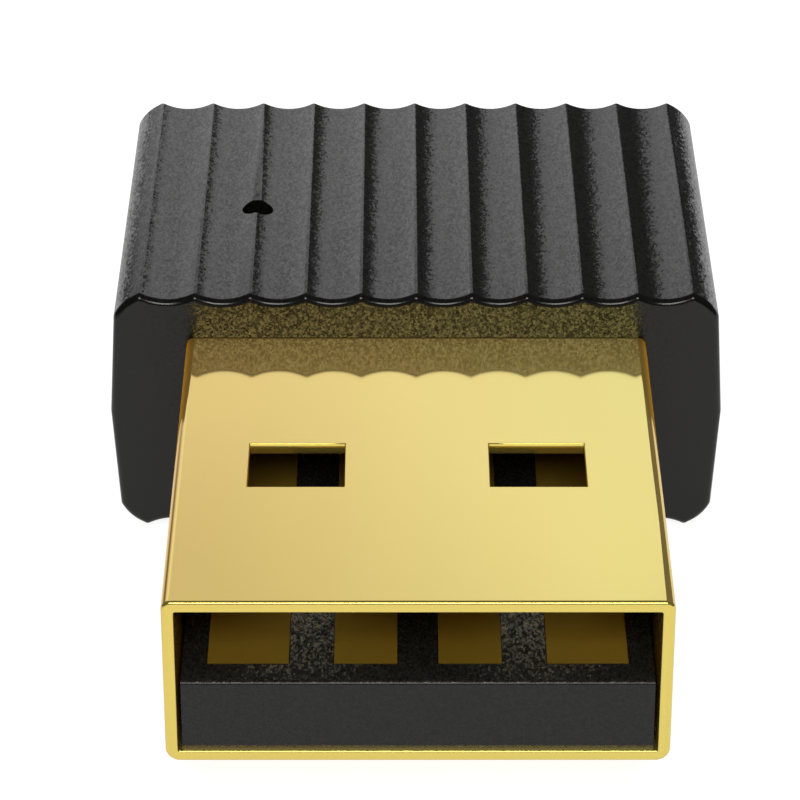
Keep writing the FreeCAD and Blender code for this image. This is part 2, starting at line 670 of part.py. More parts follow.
def antenna():
    """The printed antenna: one turn of a copper meander, repeated across the board's rear edge."""
    body = new_body("antenna")
    left = ANTENNA_LEFT
    width = "Sizes.trace_width"
    low = ANTENNA_FRONT
    high = f"({ANTENNA_FRONT} + Sizes.antenna_height)"
    second = f"({left} + Sizes.antenna_pitch)"
    third = f"({left} + 2 * Sizes.antenna_pitch)"
    turn = Drawing(body, "meander_turn", "XY_Plane", BOARD_TOP)
    turn.polygon(((left, low), (f"({left} + {width})", low), (f"({left} + {width})", f"({high} - {width})"),
                  (second, f"({high} - {width})"), (second, low), (third, low),
                  (third, f"({low} + {width})"), (f"({second} + {width})", f"({low} + {width})"),
                  (f"({second} + {width})", high), (left, high)))
    first = pad_up(body, turn.close(), "Sizes.copper")
    pattern = body.newObject("PartDesign::LinearPattern", "meander")
    pattern.Originals = [first]
    pattern.Direction = (turn.sketch, ["H_Axis"])
    pattern.Occurrences = ANTENNA_TURNS
    pattern.setExpression("Length", f"2 * Sizes.antenna_pitch * {ANTENNA_TURNS - 1}")
    body.Tip = pattern


def seat_on_board(part, across, along):
    """Place a part that was modelled about its own middle, with its underside at Z = 0."""
    part.setExpression("Placement.Base.x", across)
    part.setExpression("Placement.Base.y", along)
    part.setExpression("Placement.Base.z", BOARD_TOP)


def radio_chip():
    """The radio chip's flat package, bevelled on top, with a dimple that marks its first pad."""
    body = new_body("radio_chip")
    half = "(Sizes.chip_side / 2)"
    package = Drawing(body, "chip_package", "XY_Plane", "0")
    package.rectangle(minus(half), half, minus(half), half)
    block = pad_up(body, package.close(), "Sizes.chip_height")
    top = edges_where(block, lambda point: near(point.z, number("Sizes.chip_height")))
    dress(body, "Chamfer", block, top, "Size", "Sizes.chip_bevel")
    mark = Drawing(body, "chip_mark_circle", "XY_Plane", "Sizes.chip_height")
    corner = f"({half} - Sizes.chip_mark_inset)"
    mark.circle(minus(corner), corner, "(Sizes.chip_mark / 2)")
    pocket(body, mark.close(), "Sizes.chip_mark_depth")
    seat_on_board(body, "Sizes.chip_across", CHIP_MIDDLE)


def crystal():
    """The clock crystal: a ceramic base with a metal lid, sealed as one part."""
    body = new_body("crystal")
    half_width = "(Sizes.crystal_width / 2)"
    half_length = "(Sizes.crystal_length / 2)"
    base = Drawing(body, "crystal_base_outline", "XY_Plane", "0")
    base.rectangle(minus(half_width), half_width, minus(half_length), half_length)
    pad_up(body, base.close(), "Sizes.crystal_base")
    lid = Drawing(body, "crystal_lid_outline", "XY_Plane", "Sizes.crystal_base")
    lid.rounded_rectangle(f"({half_width} - Sizes.crystal_step)", f"({half_length} - Sizes.crystal_step)",
                          "Sizes.crystal_corner")
    pad_up(body, lid.close(), "Sizes.crystal_lid")
    across = f"({CHIP_RIGHT} + Sizes.crystal_room + {half_width})"
    seat_on_board(body, across, f"({BOARD_FRONT} + Sizes.crystal_setback)")


def status_led():
    """The status light, on the board right under the hole in the housing's roof."""
    body = new_body("status_led")
    half_width = "(Sizes.lamp_width / 2)"
    half_length = "(Sizes.lamp_length / 2)"
    base = Drawing(body, "lamp_base_outline", "XY_Plane", "0")
    base.rectangle(minus(half_width), half_width, minus(half_length), half_length)
    pad_up(body, base.close(), "Sizes.lamp_base")
    lens_half = f"({half_length} - Sizes.lamp_step)"
    lens = Drawing(body, "lamp_lens_outline", "XY_Plane", "Sizes.lamp_base")
    lens.rectangle(minus(half_width), half_width, minus(lens_half), lens_half)
    dome = pad_up(body, lens.close(), "Sizes.lamp_lens")
    top = edges_where(dome, lambda point: near(point.z, number("Sizes.lamp_base + Sizes.lamp_lens")))
    dress(body, "Chamfer", dome, top, "Size", "Sizes.lamp_bevel")
    seat_on_board(body, LIGHT_X, "Sizes.light_setback")


def chip_part(name, size, across_from, setback_from, turn):
    """A resistor, capacitor or coil in a chip package: a block with a plated cap at each end."""
    length, width, height = (f"Sizes.{size}_{side}" for side in ("length", "width", "height"))
    film = "Sizes.end_film"

    def block(label, left, long, inset):
        box = doc.addObject("Part::Box", f"{name}_{label}")
        box.setExpression("Length", long)
        box.setExpression("Width", f"{width} - 2 * {inset}")
        box.setExpression("Height", f"{height} - 2 * {inset}")
        box.setExpression("Placement.Base.x", left)
        box.setExpression("Placement.Base.y", f"{inset} - {width} / 2")
        box.setExpression("Placement.Base.z", inset)
        return box

    part = doc.addObject("Part::MultiFuse", name)
    part.Label = name
    part.Shapes = [block("core", f"{film} - {length} / 2", f"{length} - 2 * {film}", film),
                   block("left_end", f"-{length} / 2", "Sizes.end_length", "0"),
                   block("right_end", f"{length} / 2 - Sizes.end_length", "Sizes.end_length", "0")]
    part.Refine = True
    part.Placement = FreeCAD.Placement(Vector(), FreeCAD.Rotation(Vector(0, 0, 1), turn))
    seat_on_board(part, f"{DISTANCES_FROM[across_from]} + Sizes.{name}_across",
                  f"{DISTANCES_FROM[setback_from]} + Sizes.{name}_setback")
    sub_parts.append(part)


def check_parts():
    """Stop before anything is written if an object failed or a sub-part isn't one sound solid."""
    doc.recompute()
    failed = [item.Name for item in doc.Objects if {"Invalid", "Error"} & set(item.State)]
    for part in sub_parts:
        shape = part.Shape
        if shape.isNull() or not shape.isValid() or len(shape.Solids) != 1:
            failed.append(part.Label)
    if failed:
        raise RuntimeError("Not sound: " + ", ".join(failed))


def write_parts():
    os.makedirs("parts", exist_ok=True)
    for part in sub_parts:
        part.Shape.exportStep(f"parts/{part.Label}.step")


housing()
rear_cover()
plug_shell()
plug_insulator()
for contact_name, contact_size, contact_side in CONTACTS:
    contact(contact_name, contact_size, contact_side)
circuit_board()
antenna()
radio_chip()
crystal()
status_led()
for part_name, part_size, across_start, _, setback_start, _, part_turn in CHIP_PARTS:
    chip_part(part_name, part_size, across_start, setback_start, part_turn)
check_parts()
write_parts()
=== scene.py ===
import math

import bmesh
import bpy
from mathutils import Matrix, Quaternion, Vector


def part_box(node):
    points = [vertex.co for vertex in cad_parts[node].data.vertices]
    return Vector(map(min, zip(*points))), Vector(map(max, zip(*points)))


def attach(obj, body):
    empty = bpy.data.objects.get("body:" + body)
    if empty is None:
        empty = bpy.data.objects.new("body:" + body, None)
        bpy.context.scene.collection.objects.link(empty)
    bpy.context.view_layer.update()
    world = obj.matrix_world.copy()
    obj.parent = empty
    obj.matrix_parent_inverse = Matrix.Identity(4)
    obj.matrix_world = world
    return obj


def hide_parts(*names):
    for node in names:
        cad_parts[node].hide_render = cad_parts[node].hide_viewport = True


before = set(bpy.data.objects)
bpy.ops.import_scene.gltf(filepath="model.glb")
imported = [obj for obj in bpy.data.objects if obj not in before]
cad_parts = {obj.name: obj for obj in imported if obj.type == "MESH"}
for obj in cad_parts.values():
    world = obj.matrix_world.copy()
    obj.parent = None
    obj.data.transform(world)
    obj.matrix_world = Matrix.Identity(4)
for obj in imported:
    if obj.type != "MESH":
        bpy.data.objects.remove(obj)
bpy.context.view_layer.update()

# A short wireless adapter on a type A plug. The plug points along -Y, X runs across it and +Z is
# up. The origin is on the plug's centre line, in the plane of the housing's front face.
# Sizes are in millimetres and become metres, times MM, where they are used.

scene = bpy.context.scene
MM = 0.001

# Housing: the fluted section, its rounded rims and what is cut out of it
FLUTES = 10
PITCH = 1.44
LAST_RIDGE = FLUTES * PITCH / 2
TOP = 3.5
FLUTE_RADIUS = 1.47
RIDGE_ROUND = 0.12
SIDE_MIDDLE = 8.06
SIDE_DRAFT = 0.17
SIDE_TOP_HEIGHT = 2.85
SHOULDER_RADIUS = 1.24
SHOULDER_AXIS = (6.759, 2.341)
SIDE_ROUND = 0.3
HOUSING_END = 11.75
RIM_ROUND = 0.18
RIM_STEPS = 7
FRONT_WALL = 1.0
COVER_FACE = 10.95
CAVITY_HALF = (7.0, 2.5)
CAVITY_CORNER = 0.4
COVER_SEAT_HALF = (7.25, 2.75)
PLUG_OPENING_HALF = (6.01, 2.26)
PLUG_OPENING_CORNERS = (0.24, 0.36)
OPENING_BEVEL = 0.01
LIGHT_HOLE = (-4.28, 5.17)
LIGHT_HOLE_RADIUS = 0.42
LIGHT_DIP = (-4.28, 5.45)
LIGHT_DIP_RADIUS = 0.55
LIGHT_DIP_DEPTH = 0.05
ARM_SPREAD = 4.0
RECESS_HALF_WIDTH = 1.25
RECESS_ENDS = (8.55, 9.5)
RECESS_HEIGHTS = (2.3, 2.77)
RAIL_FACE = 6.5
RAIL_HEIGHTS = ((-1.55, -1.05), (-0.2, 0.3))
RAIL_ROOT = 0.3
CUT_OVER = 0.1

# Steps of the section's arcs: a ridge's half, a flute, the shoulder and the side's rounding
RIDGE_STEPS = 3
FLUTE_STEPS = 16
SHOULDER_STEPS = 12
SIDE_STEPS = 4

# Plug shell: half its size across, its bends on the solid, its upper ones here, and its mouth
SHELL_HALF = (6.0, 2.25)
SHELL_BEND = 0.35
UPPER_BEND = 0.23
SHELL_MOUTH = -12.68

# The seam's straight stretches: where they lie across, how tight they are, and up to where along
# Y the rim holds them shut
SEAM_MIDDLE = 0.02
SEAM_REACH = 0.03
SEAM_WIDTH = 0.004
SEAM_CLOSED_TO = -12.0

# Edges rounded by hand: two corners of a box that holds them, as distances from the middle, and
# the radius. They are those of the upper windows and the tongue's top front edge.
WINDOW_EDGES = ((1.7, 5.3, 2.249), (4.3, 7.6, 2.251), 0.02)
TONGUE_EDGE = ((-0.1, 12.54, 0.06), (6.0, 12.56, 0.08), 0.04)

# Tongue: the height that its grain is full from, over how much height it rises to that, the
# highlights of the plain front below it and of the grain, and the front's slope
TONGUE_GRAIN_FROM = -0.09
GRAIN_RISE = 0.02
FRONT_HIGHLIGHT = 0.38
GRAIN_HIGHLIGHT = 0.5
FRONT_SLOPE = 0.02

# Meshes: points nearer than this are one, in a copy and in the housing's skin, and lengths in
# metres below the last one are nothing
MERGE_DISTANCE = 0.0005
SKIN_MERGE_DISTANCE = 0.001
NOTHING = 1e-9

# Angles in degrees: from where shading breaks, without and with a bevel, from where edges are broken
# and corners rounded by hand, and up to where faces are one flat
SHARP_FROM = 32
BEVELLED_SHARP_FROM = 60
BEVEL_FROM = 35
CORNER_FROM = 80
FLAT_TO = 0.5

# Grain of the plastics: its sizes, how it is drawn out along Y, and how much coarser the tones are
GRAIN_SIZE = 0.05
FINE_GRAIN_SIZE = 0.03
GRAIN_STRETCH = (1.0, 0.55, 1.0)
TONE_TO_GRAIN = 0.9

# The housing's plastic, by distance behind the front face: where the face ends, where the flecks
# are full and between which places the facets rise. Then the shares on the face and on the rim
# between the face and the skin, the face's extra roughness, and the facets' full slope.
FACE_END = 0.01
FULL_FLECKS_AT = 0.15
FACETS_RISE = (0.1, 0.2)
FACE_FLECKS = 0.15
FACE_FACETS = 0.8
RIM_FACETS = 0.2
FACE_ROUGHER = 0.05
HOUSING_SLOPE = 0.12

# Plating: its waves and peel, between which slants of view it turns pale and how pale, how far its
# tone drifts, between which places across the plug its painted reflection turns the pale tone to a
# brighter lemon one, and its depth
WAVE_SIZE = 3.0
PEEL_SIZE = 0.08
PEEL_SHARE = 0.02
PALE_FROM_TO = (0.13, 0.5)
PALE_SHARE = 0.9
TONE_DRIFT = 0.1
PAINTED_REFLECTION_ACROSS = (-5.0, 5.0)
SKIN_DEPTH = 0.004

# The plating's sheen: how much of the shell's thickness has all of it, and the share further in.
# Its brushed rim: how rough it is, and between which depths behind the mouth it ends.
SHEEN_DEPTH = 0.15
INNER_SHEEN = 0.12
RIM_ROUGHNESS = 0.22
BRUSHED_TO = (0.015, 0.035)

# Chip parts: how long their tinned ends are, and the ends' colour
TINNED_LENGTH = 0.22
TIN = (0.72, 0.72, 0.70, 1)

# Camera, at the photograph's viewing angle, floor and surroundings
CAMERA_PLACE = (-0.435, -87.010, 50.365)
CAMERA_AIM = (-0.423, 0.674, 0.0)
CAMERA_LENS = 171.37
CAMERA_SENSOR = 36.0
CAMERA_REACH = (5.0, 10000.0)
FLOOR_SIZE = 4000.0
FLOOR_SHADE = (0.3, 0.3, 0.3, 1)
FLOOR_SEEN = 0.9
FLOOR_SHINE = (0.2, 0.6)
FLOOR_SHINE_ACROSS = (-40.0, -12.0)
SURROUNDINGS_GLOW = 0.06


def add(tree, kind, sockets=None, **settings):
    """Add a node, make its settings, and fill or link its inputs, each by name or place."""
    made = tree.nodes.new(kind)
    for name, value in settings.items():
        setattr(made, name, value)
    for key, value in (sockets or {}).items():
        if isinstance(value, bpy.types.NodeSocket):
            tree.links.new(value, made.inputs[key])
        else:
            made.inputs[key].default_value = value
    return made


def calc(tree, operation, *values):
    return add(tree, "ShaderNodeMath", dict(enumerate(values)), operation=operation).outputs[0]


def calc_vector(tree, operation, *values, output="Vector"):
    return add(tree, "ShaderNodeVectorMath", dict(enumerate(values)), operation=operation).outputs[output]


def mix_colours(tree, share, first, second):
    """Mix two colours. The node's colours are its inputs 6 and 7 and its output 2."""
    made = add(tree, "ShaderNodeMix", {0: share, 6: first, 7: second}, data_type="RGBA")
    return made.outputs[2]


def remap(tree, value, low, high, new_low, new_high):
    """Carry a value from one range to another, and hold it at the new range's ends."""
    sockets = {"Value": value, "From Min": low, "From Max": high, "To Min": new_low, "To Max": new_high}
    return add(tree, "ShaderNodeMapRange", sockets).outputs[0]


def noise(tree, coordinates, scale, detail):
    sockets = {"Vector": coordinates, "Scale": scale, "Detail": detail}
    return add(tree, "ShaderNodeTexNoise", sockets).outputs["Fac"]


def new_group(name, kind, inputs, outputs):
    """A node group with named inputs, each with its default, and named outputs."""
    tree = bpy.data.node_groups.new(name, kind)
    for label, socket, default in inputs:
        made = tree.interface.new_socket(label, in_out="INPUT", socket_type=socket)
        if default is not None:
            made.default_value = default
    for label, socket in outputs:
        tree.interface.new_socket(label, in_out="OUTPUT", socket_type=socket)
    return tree, tree.nodes.new("NodeGroupInput").outputs, tree.nodes.new("NodeGroupOutput")


def make_eroded_grain():
    """The fine pits that a spark-eroded mould leaves, and small facets with a tilt and tone each.

    They are longer along Y, the way that the mould opens.
    """
    inputs = (("Vector", "NodeSocketVector", None), ("Grain Size", "NodeSocketFloat", GRAIN_SIZE * MM))
    outputs = (("Height", "NodeSocketFloat"), ("Fleck", "NodeSocketFloat"), ("Tilt", "NodeSocketVector"))
    tree, given, result = new_group("eroded_grain", "ShaderNodeTree", inputs, outputs)
    drawn = calc_vector(tree, "MULTIPLY", given["Vector"], GRAIN_STRETCH)
    scale = calc(tree, "DIVIDE", 1.0, given["Grain Size"])
    pits = noise(tree, drawn, scale, detail=1.0)
    facets = add(tree, "ShaderNodeTexVoronoi", {"Vector": drawn, "Scale": scale}).outputs["Color"]
    tilt = calc_vector(tree, "SUBTRACT", facets, (0.5, 0.5, 0.5))
    tone_scale = calc(tree, "MULTIPLY", scale, TONE_TO_GRAIN)
    tones = add(tree, "ShaderNodeTexVoronoi", {"Vector": drawn, "Scale": tone_scale}).outputs["Color"]
    fleck = add(tree, "ShaderNodeSeparateColor", {0: tones}).outputs["Red"]
    tree.links.new(pits, result.inputs["Height"])
    tree.links.new(fleck, result.inputs["Fleck"])
    tree.links.new(tilt, result.inputs["Tilt"])
    return tree


def make_plating_skin():
    """The slow waves and the fine peel of a plated sheet, and a slow drift of its tone."""
    inputs = (("Vector", "NodeSocketVector", None), ("Wave Size", "NodeSocketFloat", WAVE_SIZE * MM),
              ("Peel Size", "NodeSocketFloat", PEEL_SIZE * MM))
    outputs = (("Height", "NodeSocketFloat"), ("Tone", "NodeSocketFloat"))
    tree, given, result = new_group("plating_skin", "ShaderNodeTree", inputs, outputs)
    wave_scale = calc(tree, "DIVIDE", 1.0, given["Wave Size"])
    waves = noise(tree, given["Vector"], wave_scale, detail=1.0)
    peel = noise(tree, given["Vector"], calc(tree, "DIVIDE", 1.0, given["Peel Size"]), detail=2.0)
    height = calc(tree, "MULTIPLY_ADD", peel, PEEL_SHARE, waves)
    tone = noise(tree, given["Vector"], calc(tree, "MULTIPLY", wave_scale, 0.7), detail=3.0)
    tree.links.new(height, result.inputs["Height"])
    tree.links.new(tone, result.inputs["Tone"])
    return tree


def make_plated_ends():
    """A mask that is one on the two ends of a chip part, along its own axis."""
    inputs = (("Vector", "NodeSocketVector", None), ("Middle", "NodeSocketVector", None),
              ("Axis", "NodeSocketVector", (1.0, 0.0, 0.0)), ("Half Length", "NodeSocketFloat", 0.5 * MM),
              ("End Length", "NodeSocketFloat", TINNED_LENGTH * MM))
    tree, given, result = new_group("plated_ends", "ShaderNodeTree", inputs, (("Mask", "NodeSocketFloat"),))
    from_middle = calc_vector(tree, "SUBTRACT", given["Vector"], given["Middle"])
    along = calc_vector(tree, "DOT_PRODUCT", from_middle, given["Axis"], output="Value")
    start = calc(tree, "SUBTRACT", given["Half Length"], given["End Length"])
    mask = calc(tree, "GREATER_THAN", calc(tree, "ABSOLUTE", along), start)
    tree.links.new(mask, result.inputs["Mask"])
    return tree


ERODED_GRAIN = make_eroded_grain()
PLATING_SKIN = make_plating_skin()
PLATED_ENDS = make_plated_ends()


class Finish:
    """A material around one shader, with its object coordinates at hand."""

    def __init__(self, name, **constants):
        self.material = bpy.data.materials.new(name)
        self.material.use_nodes = True
        self.tree = self.material.node_tree
        self.shader = self.tree.nodes["Principled BSDF"]
        self.place = self.tree.nodes.new("ShaderNodeTexCoord").outputs["Object"]
        for label, value in constants.items():
            self.shader.inputs[label.replace("_", " ").title().replace("Ior", "IOR")].default_value = value

    def group(self, tree, **values):
        sockets = {"Vector": self.place}
        for label, value in values.items():
            sockets[label.replace("_", " ").title()] = value
        return add(self.tree, "ShaderNodeGroup", sockets, node_tree=tree).outputs

    def along(self, axis):
        return add(self.tree, "ShaderNodeSeparateXYZ", {0: self.place}).outputs[axis]

    def feed(self, label, socket):
        self.tree.links.new(socket, self.shader.inputs[label])

    def bump(self, height, depth):
        """Raise the surface by a height that varies; depth is that of one unit, in millimetres."""
        made = add(self.tree, "ShaderNodeBump", {"Height": height, "Distance": depth * MM})
        self.feed("Normal", made.outputs["Normal"])

    def facet(self, tilt, slope):
        """Lean each small facet its own way. The slope is the most that one leans, doubled."""
        plain = self.tree.nodes.new("ShaderNodeNewGeometry").outputs["Normal"]
        lean = add(self.tree, "ShaderNodeVectorMath", {0: tilt, "Scale": slope}, operation="SCALE")
        leant = calc_vector(self.tree, "ADD", plain, lean.outputs["Vector"])
        self.feed("Normal", calc_vector(self.tree, "NORMALIZE", leant))


def make_housing_plastic():
    """Black moulded plastic: eroded grain on the fluted skin, and a satin front face with less of it."""
    finish = Finish("housing_black", specular_ior_level=0.435, coat_roughness=0.22)
    tree = finish.tree
    grain = finish.group(ERODED_GRAIN, grain_size=GRAIN_SIZE * MM)
    setback = finish.along("Y")
    fleck_share = remap(tree, setback, 0.0, FULL_FLECKS_AT * MM, FACE_FLECKS, 1.0)
    flecks = calc(tree, "MULTIPLY", grain["Fleck"], fleck_share)
    finish.feed("Base Color", mix_colours(tree, flecks, (0.003, 0.003, 0.003, 1), (0.009, 0.009, 0.008, 1)))
    finish.feed("Coat Weight", calc(tree, "MULTIPLY", flecks, 0.12))
    satin = remap(tree, setback, 0.0, FACE_END * MM, FACE_ROUGHER, 0.0)
    finish.feed("Roughness", calc(tree, "ADD", satin, remap(tree, grain["Height"], 0.2, 0.8, 0.17, 0.23)))
    # On the rim between the face and the skin the facets are rubbed down
    on_face = remap(tree, setback, 0.0, FACE_END * MM, FACE_FACETS, RIM_FACETS)
    rise_start, rise_end = (distance * MM for distance in FACETS_RISE)
    on_skin = remap(tree, setback, rise_start, rise_end, RIM_FACETS, 1.0)
    slope = calc(tree, "MULTIPLY", calc(tree, "MAXIMUM", on_face, on_skin), HOUSING_SLOPE)
    finish.facet(grain["Tilt"], slope)
    return finish.material


def make_gold(name, pale, deep, rough, metallic=1.0, painted_reflection_tone=None, sheen=0.0, **constants):
    """Bright plating, deeper where it is faced and paler along it, with slow waves and a fine peel.

    Where a painted reflection tone is given, the pale tone drifts towards it across the plug, a
    painted reflection that is brighter towards the right. A sheen is full on the shell's outside and
    faint in it. The rim at the plug's mouth is brushed.
    """
    finish = Finish(name, metallic=metallic, **constants)
    tree = finish.tree
    skin = finish.group(PLATING_SKIN)
    facing = tree.nodes.new("ShaderNodeLayerWeight").outputs["Facing"]
    paler = remap(tree, facing, *PALE_FROM_TO, 0.0, PALE_SHARE)
    share = calc(tree, "MULTIPLY_ADD", skin["Tone"], TONE_DRIFT, paler)
    # Painted reflection: the pale tone turns brighter and more lemon towards +X, where the mirrored soft
    # box is brighter
    if painted_reflection_tone:
        left, right = (distance * MM for distance in PAINTED_REFLECTION_ACROSS)
        pale = mix_colours(tree, remap(tree, finish.along("X"), left, right, 0.0, 1.0), pale, painted_reflection_tone)
    if sheen:
        outside = []
        for axis, half in zip("XZ", SHELL_HALF):
            reach = calc(tree, "ABSOLUTE", finish.along(axis))
            outside.append(calc(tree, "GREATER_THAN", reach, (half - SHEEN_DEPTH) * MM))
        share_of_sheen = remap(tree, calc(tree, "MAXIMUM", *outside), 0.0, 1.0, INNER_SHEEN, 1.0)
        finish.feed("Sheen Weight", calc(tree, "MULTIPLY", share_of_sheen, sheen))
    finish.feed("Base Color", mix_colours(tree, share, deep, pale))
    full, none = ((SHELL_MOUTH + depth) * MM for depth in BRUSHED_TO)
    brushed = remap(tree, finish.along("Y"), full, none, RIM_ROUGHNESS, 0.0)
    plated = remap(tree, skin["Tone"], 0.2, 0.8, rough, rough * 1.3)
    finish.feed("Roughness", calc(tree, "MAXIMUM", brushed, plated))
    finish.bump(skin["Height"], SKIN_DEPTH)
    return finish.material


def make_satin_plastic(name, colour, fleck_colour, rough, depth, smooth_below=None):
    """Moulded plastic or resin with a grain of the depth given.

    Where a height is given, the plastic is nearly smooth and duller below it, and above it the
    grain is made of facets with the depth as their slope.
    """
    finish = Finish(name)
    tree = finish.tree
    grain = finish.group(ERODED_GRAIN, grain_size=GRAIN_SIZE * MM)
    finish.feed("Base Color", mix_colours(tree, grain["Fleck"], colour, fleck_colour))
    finish.feed("Roughness", remap(tree, grain["Height"], 0.0, 1.0, rough, rough + 0.1))
    if smooth_below is None:
        finish.bump(grain["Height"], depth)
    else:
        plain, full = (smooth_below - GRAIN_RISE) * MM, smooth_below * MM
        grained = remap(tree, finish.along("Z"), plain, full, 0.0, 1.0)
        finish.feed("Specular IOR Level", remap(tree, grained, 0.0, 1.0, FRONT_HIGHLIGHT, GRAIN_HIGHLIGHT))
        finish.facet(grain["Tilt"], remap(tree, grained, 0.0, 1.0, FRONT_SLOPE, depth))
    return finish.material


def make_chip_part(node, colour):
    """Ceramic or ferrite with tinned ends, found from the part's own box."""
    low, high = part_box(node)
    size = high - low
    axis = (1.0, 0.0, 0.0) if size.x > size.y else (0.0, 1.0, 0.0)
    finish = Finish(f"{node}_finish")
    tree = finish.tree
    half_length = max(size.x, size.y) / 2
    ends = finish.group(PLATED_ENDS, middle=(low + high) / 2, axis=axis, half_length=half_length)
    grain = finish.group(ERODED_GRAIN, grain_size=FINE_GRAIN_SIZE * MM)
    body = mix_colours(tree, grain["Fleck"], colour, tuple(0.6 * part for part in colour[:3]) + (1,))
    finish.feed("Base Color", mix_colours(tree, ends["Mask"], body, TIN))
    finish.feed("Metallic", ends["Mask"])
    finish.feed("Roughness", remap(tree, grain["Height"], 0.0, 1.0, 0.28, 0.45))
    finish.bump(grain["Height"], 0.004)
    return finish.material


def link(name, mesh):
    made = bpy.data.objects.new(name, mesh)
    scene.collection.objects.link(made)
    return made


def plain_mesh(piece, name):
    """The piece as its modifiers leave it, as a plain mesh of its own."""
    bpy.context.view_layer.update()
    evaluated = piece.evaluated_get(bpy.context.evaluated_depsgraph_get())
    mesh = bpy.data.meshes.new_from_object(evaluated)
    mesh.name = name
    return mesh


def smooth(mesh, angle):
    """Smooth shading with sharp edges past an angle in degrees."""
    mesh.shade_smooth()
    mesh.set_sharp_from_angle(angle=math.radians(angle))


def weigh_normals(piece):
    """Let broad faces set the shading, so that a rounded rim doesn't shade the flat beside it."""
    modifier = piece.modifiers.new("broad_faces", "WEIGHTED_NORMAL")
    modifier.keep_sharp = True
    modifier.weight = 100
    piece.data = plain_mesh(piece, piece.name)
    piece.modifiers.remove(modifier)


def arc(across, up, radius, first, last, steps):
    """Points on an arc. Its angles are from straight up, clockwise, in radians."""
    turn = [first + (last - first) * step / steps for step in range(steps + 1)]
    return [(across + radius * math.sin(angle), up + radius * math.cos(angle)) for angle in turn]


def section_axes(inset):
    """Heights of the axes of a flute and of a ridge's rounding, on the outline moved inwards."""
    flute_axis = TOP - RIDGE_ROUND + math.sqrt((FLUTE_RADIUS + RIDGE_ROUND) ** 2 - PITCH ** 2 / 4)
    reach = FLUTE_RADIUS + inset + RIDGE_ROUND
    return flute_axis, flute_axis - math.sqrt(reach ** 2 - PITCH ** 2 / 4)


def flute_outline(inset):
    """One flute, from the top of a ridge to the top of the next."""
    flute_axis, height = section_axes(inset)
    lean = math.asin(PITCH / 2 / (FLUTE_RADIUS + inset + RIDGE_ROUND))
    first = arc(0, height, RIDGE_ROUND, 0, lean, RIDGE_STEPS)
    hollow = arc(PITCH / 2, flute_axis, FLUTE_RADIUS + inset, math.pi + lean, math.pi - lean, FLUTE_STEPS)
    last = arc(PITCH, height, RIDGE_ROUND, -lean, 0, RIDGE_STEPS)
    return first + hollow[1:-1] + last


def corner_outline(inset):
    """From the top of the last ridge over the shoulder and down the drafted side to mid-height."""
    height = section_axes(inset)[1]
    draft = math.atan(SIDE_DRAFT / SIDE_TOP_HEIGHT)
    across, up = SHOULDER_AXIS
    lean = math.atan2(LAST_RIDGE - across, height - up)
    ridge = arc(LAST_RIDGE, height, RIDGE_ROUND, 0, lean, RIDGE_STEPS)
    # The side's rounding touches the shoulder's arc and the drafted side from inside
    side = SIDE_MIDDLE * math.cos(draft) - SIDE_ROUND - across * math.cos(draft) - up * math.sin(draft)
    reach = SHOULDER_RADIUS - SIDE_ROUND
    turn = math.pi / 2 - draft - math.acos(side / reach)
    round_across = across + reach * math.sin(turn)
    round_up = up + reach * math.cos(turn)
    shoulder = arc(across, up, SHOULDER_RADIUS - inset, lean, turn, SHOULDER_STEPS)
    rounding = arc(round_across, round_up, SIDE_ROUND - inset, turn, math.pi / 2 - draft, SIDE_STEPS)
    return ridge + shoulder[1:] + rounding[1:] + [(SIDE_MIDDLE - inset / math.cos(draft), 0.0)]


def rim_sections():
    """Inset of the outline and place along Y, from the front face to the back face."""
    rim = []
    for step in range(RIM_STEPS + 1):
        angle = math.pi / 2 * (1 - step / RIM_STEPS)
        rim.append((RIM_ROUND * (1 - math.cos(angle)), RIM_ROUND * (1 - math.sin(angle))))
    return rim + [(inset, HOUSING_END - rise) for inset, rise in reversed(rim)]


def end_ring(shape, row):
    """The points round a strip's end face: its outline, then the feet below it at mid-height."""
    feet = [shape.verts.new((point.co.x, point.co.y, 0.0))
            for point in (row[0], row[-1]) if point.co.z > NOTHING]
    return row + feet[::-1]


def strip_mesh(name, outline):
    """A strip of the housing's skin from front to back, with its end faces down to mid-height."""
    mesh = bpy.data.meshes.new(name)
    shape = bmesh.new()
    rows = [[shape.verts.new((x * MM, y * MM, z * MM)) for x, z in outline(inset)]
            for inset, y in rim_sections()]
    for front, back in zip(rows, rows[1:]):
        for start in range(len(front) - 1):
            shape.faces.new((front[start], front[start + 1], back[start + 1], back[start]))
    shape.faces.new(reversed(end_ring(shape, rows[0])))
    shape.faces.new(end_ring(shape, rows[-1]))
    shape.normal_update()
    shape.to_mesh(mesh)
    shape.free()
    return mesh


def rounded_rectangle(half_width, half_height, upper_radius, lower_radius, steps=6):
    """Points round a rectangle with rounded corners, clockwise as seen from the front."""
    points = []
    for quarter, (x, z) in enumerate(((1, 1), (1, -1), (-1, -1), (-1, 1))):
        radius = upper_radius if z > 0 else lower_radius
        centre = (x * (half_width - radius), z * (half_height - radius))
        points += arc(*centre, radius, quarter * math.pi / 2, (quarter + 1) * math.pi / 2, steps)
    return points


def add_loft(shape, sections):
    """Add a closed prism through sections of as many points, each with its place along Y."""
    rows = [[shape.verts.new((x * MM, y * MM, z * MM)) for x, z in points] for points, y in sections]
    for front, back in zip(rows, rows[1:]):
        for start in range(len(front)):
            following = (start + 1) % len(front)
            shape.faces.new((front[start], back[start], back[following], front[following]))
    shape.faces.new(rows[0])
    shape.faces.new(reversed(rows[-1]))


